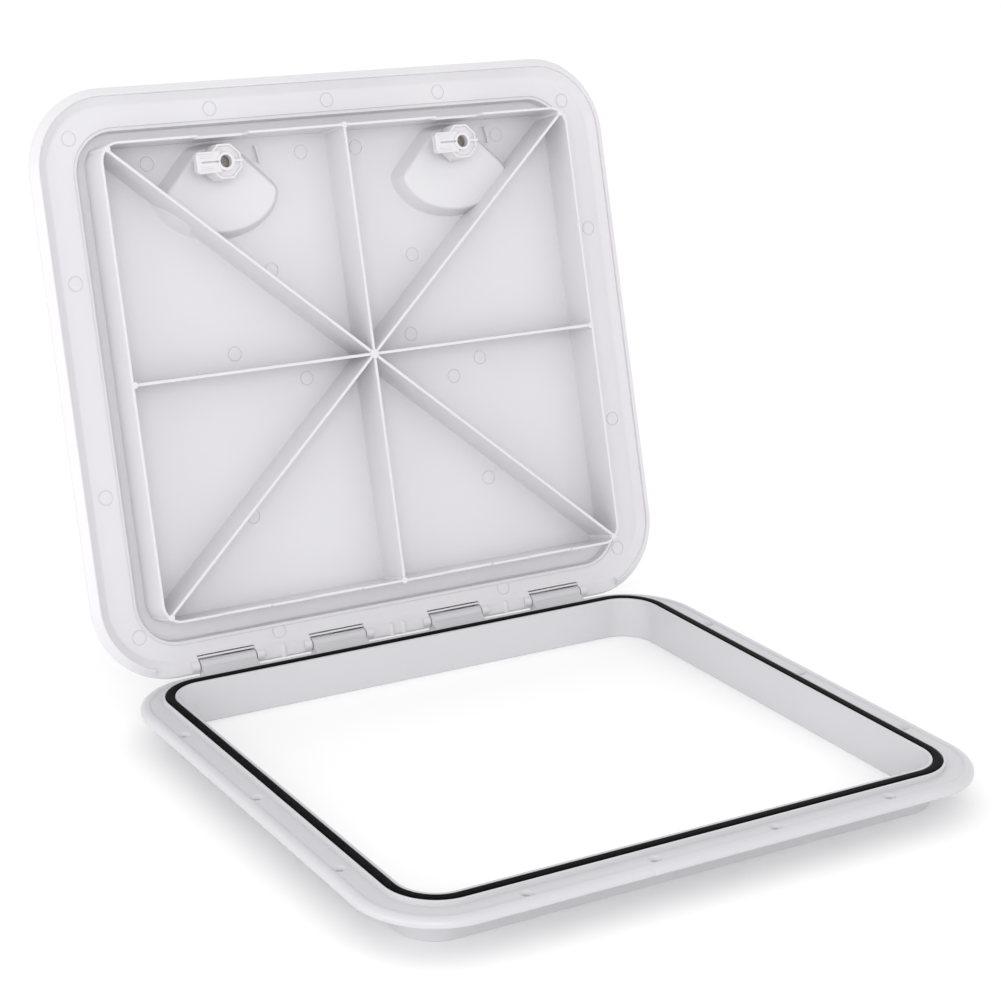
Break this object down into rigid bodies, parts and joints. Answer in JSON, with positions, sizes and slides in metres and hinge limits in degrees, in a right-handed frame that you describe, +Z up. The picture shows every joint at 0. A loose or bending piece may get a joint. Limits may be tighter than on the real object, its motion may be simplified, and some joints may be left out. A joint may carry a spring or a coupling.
{
  "type": "deck hatch",
  "caption": "Moulded access hatch for a boat deck: a flanged frame with a gasket, and a ribbed lid on pin hinges that lies open and shuts with quarter-turn latches.",
  "frame": {"origin": "middle of the opening, in the plane of the deck that the flange lies on", "axes": "+X right along the hinge line, +Y towards the hinges, +Z up out of the deck"},
  "size_m": [0.52, 0.5758, 0.4711],
  "materials": {
    "plastic": "satin white moulded ABS",
    "rubber": "matt black",
    "steel": "stainless steel"
  },
  "bodies": {
    "frame": {"frame": "plastic", "gasket": "rubber"},
    "lid": {"lid": "plastic", "hinge_pin_1": "steel", "hinge_pin_2": "steel", "hinge_pin_3": "steel", "hinge_pin_4": "steel", "latch_seal_left": "rubber", "latch_seal_right": "rubber", "latch_washer_left": "steel", "latch_washer_right": "steel"},
    "latch_left": {"latch_cam_left": "plastic", "latch_spindle_left": "steel", "latch_screw_left": "steel"},
    "handle_left": {"latch_handle_left": "plastic", "handle_pin_left": "steel"},
    "latch_right": {"latch_cam_right": "plastic", "latch_spindle_right": "steel", "latch_screw_right": "steel"},
    "handle_right": {"latch_handle_right": "plastic", "handle_pin_right": "steel"}
  },
  "joints": [
    {"name": "lid_hinge", "type": "hinge", "parent": "frame", "child": "lid", "pos_m": [0, 0.2209, 0.0102], "axis": [1, 0, 0], "range_deg": [0, 106.5]},
    {"name": "latch_turn_left", "type": "hinge", "parent": "lid", "child": "latch_left", "pos_m": [-0.1072, 0.33093, 0.38165], "axis": [0, 0.9588, -0.284], "range_deg": [0, 90]},
    {"name": "handle_lift_left", "type": "hinge", "parent": "latch_left", "child": "handle_left", "pos_m": [-0.1072, 0.33821, 0.37949], "axis": [0.7071, 0.2008, 0.678], "range_deg": [0, 80]},
    {"name": "latch_turn_right", "type": "hinge", "parent": "lid", "child": "latch_right", "pos_m": [0.1072, 0.33093, 0.38165], "axis": [0, 0.9588, -0.284], "range_deg": [0, 90]},
    {"name": "handle_lift_right", "type": "hinge", "parent": "latch_right", "child": "handle_right", "pos_m": [0.1072, 0.33821, 0.37949], "axis": [0.7071, 0.2008, 0.678], "range_deg": [0, 80]}
  ]
}
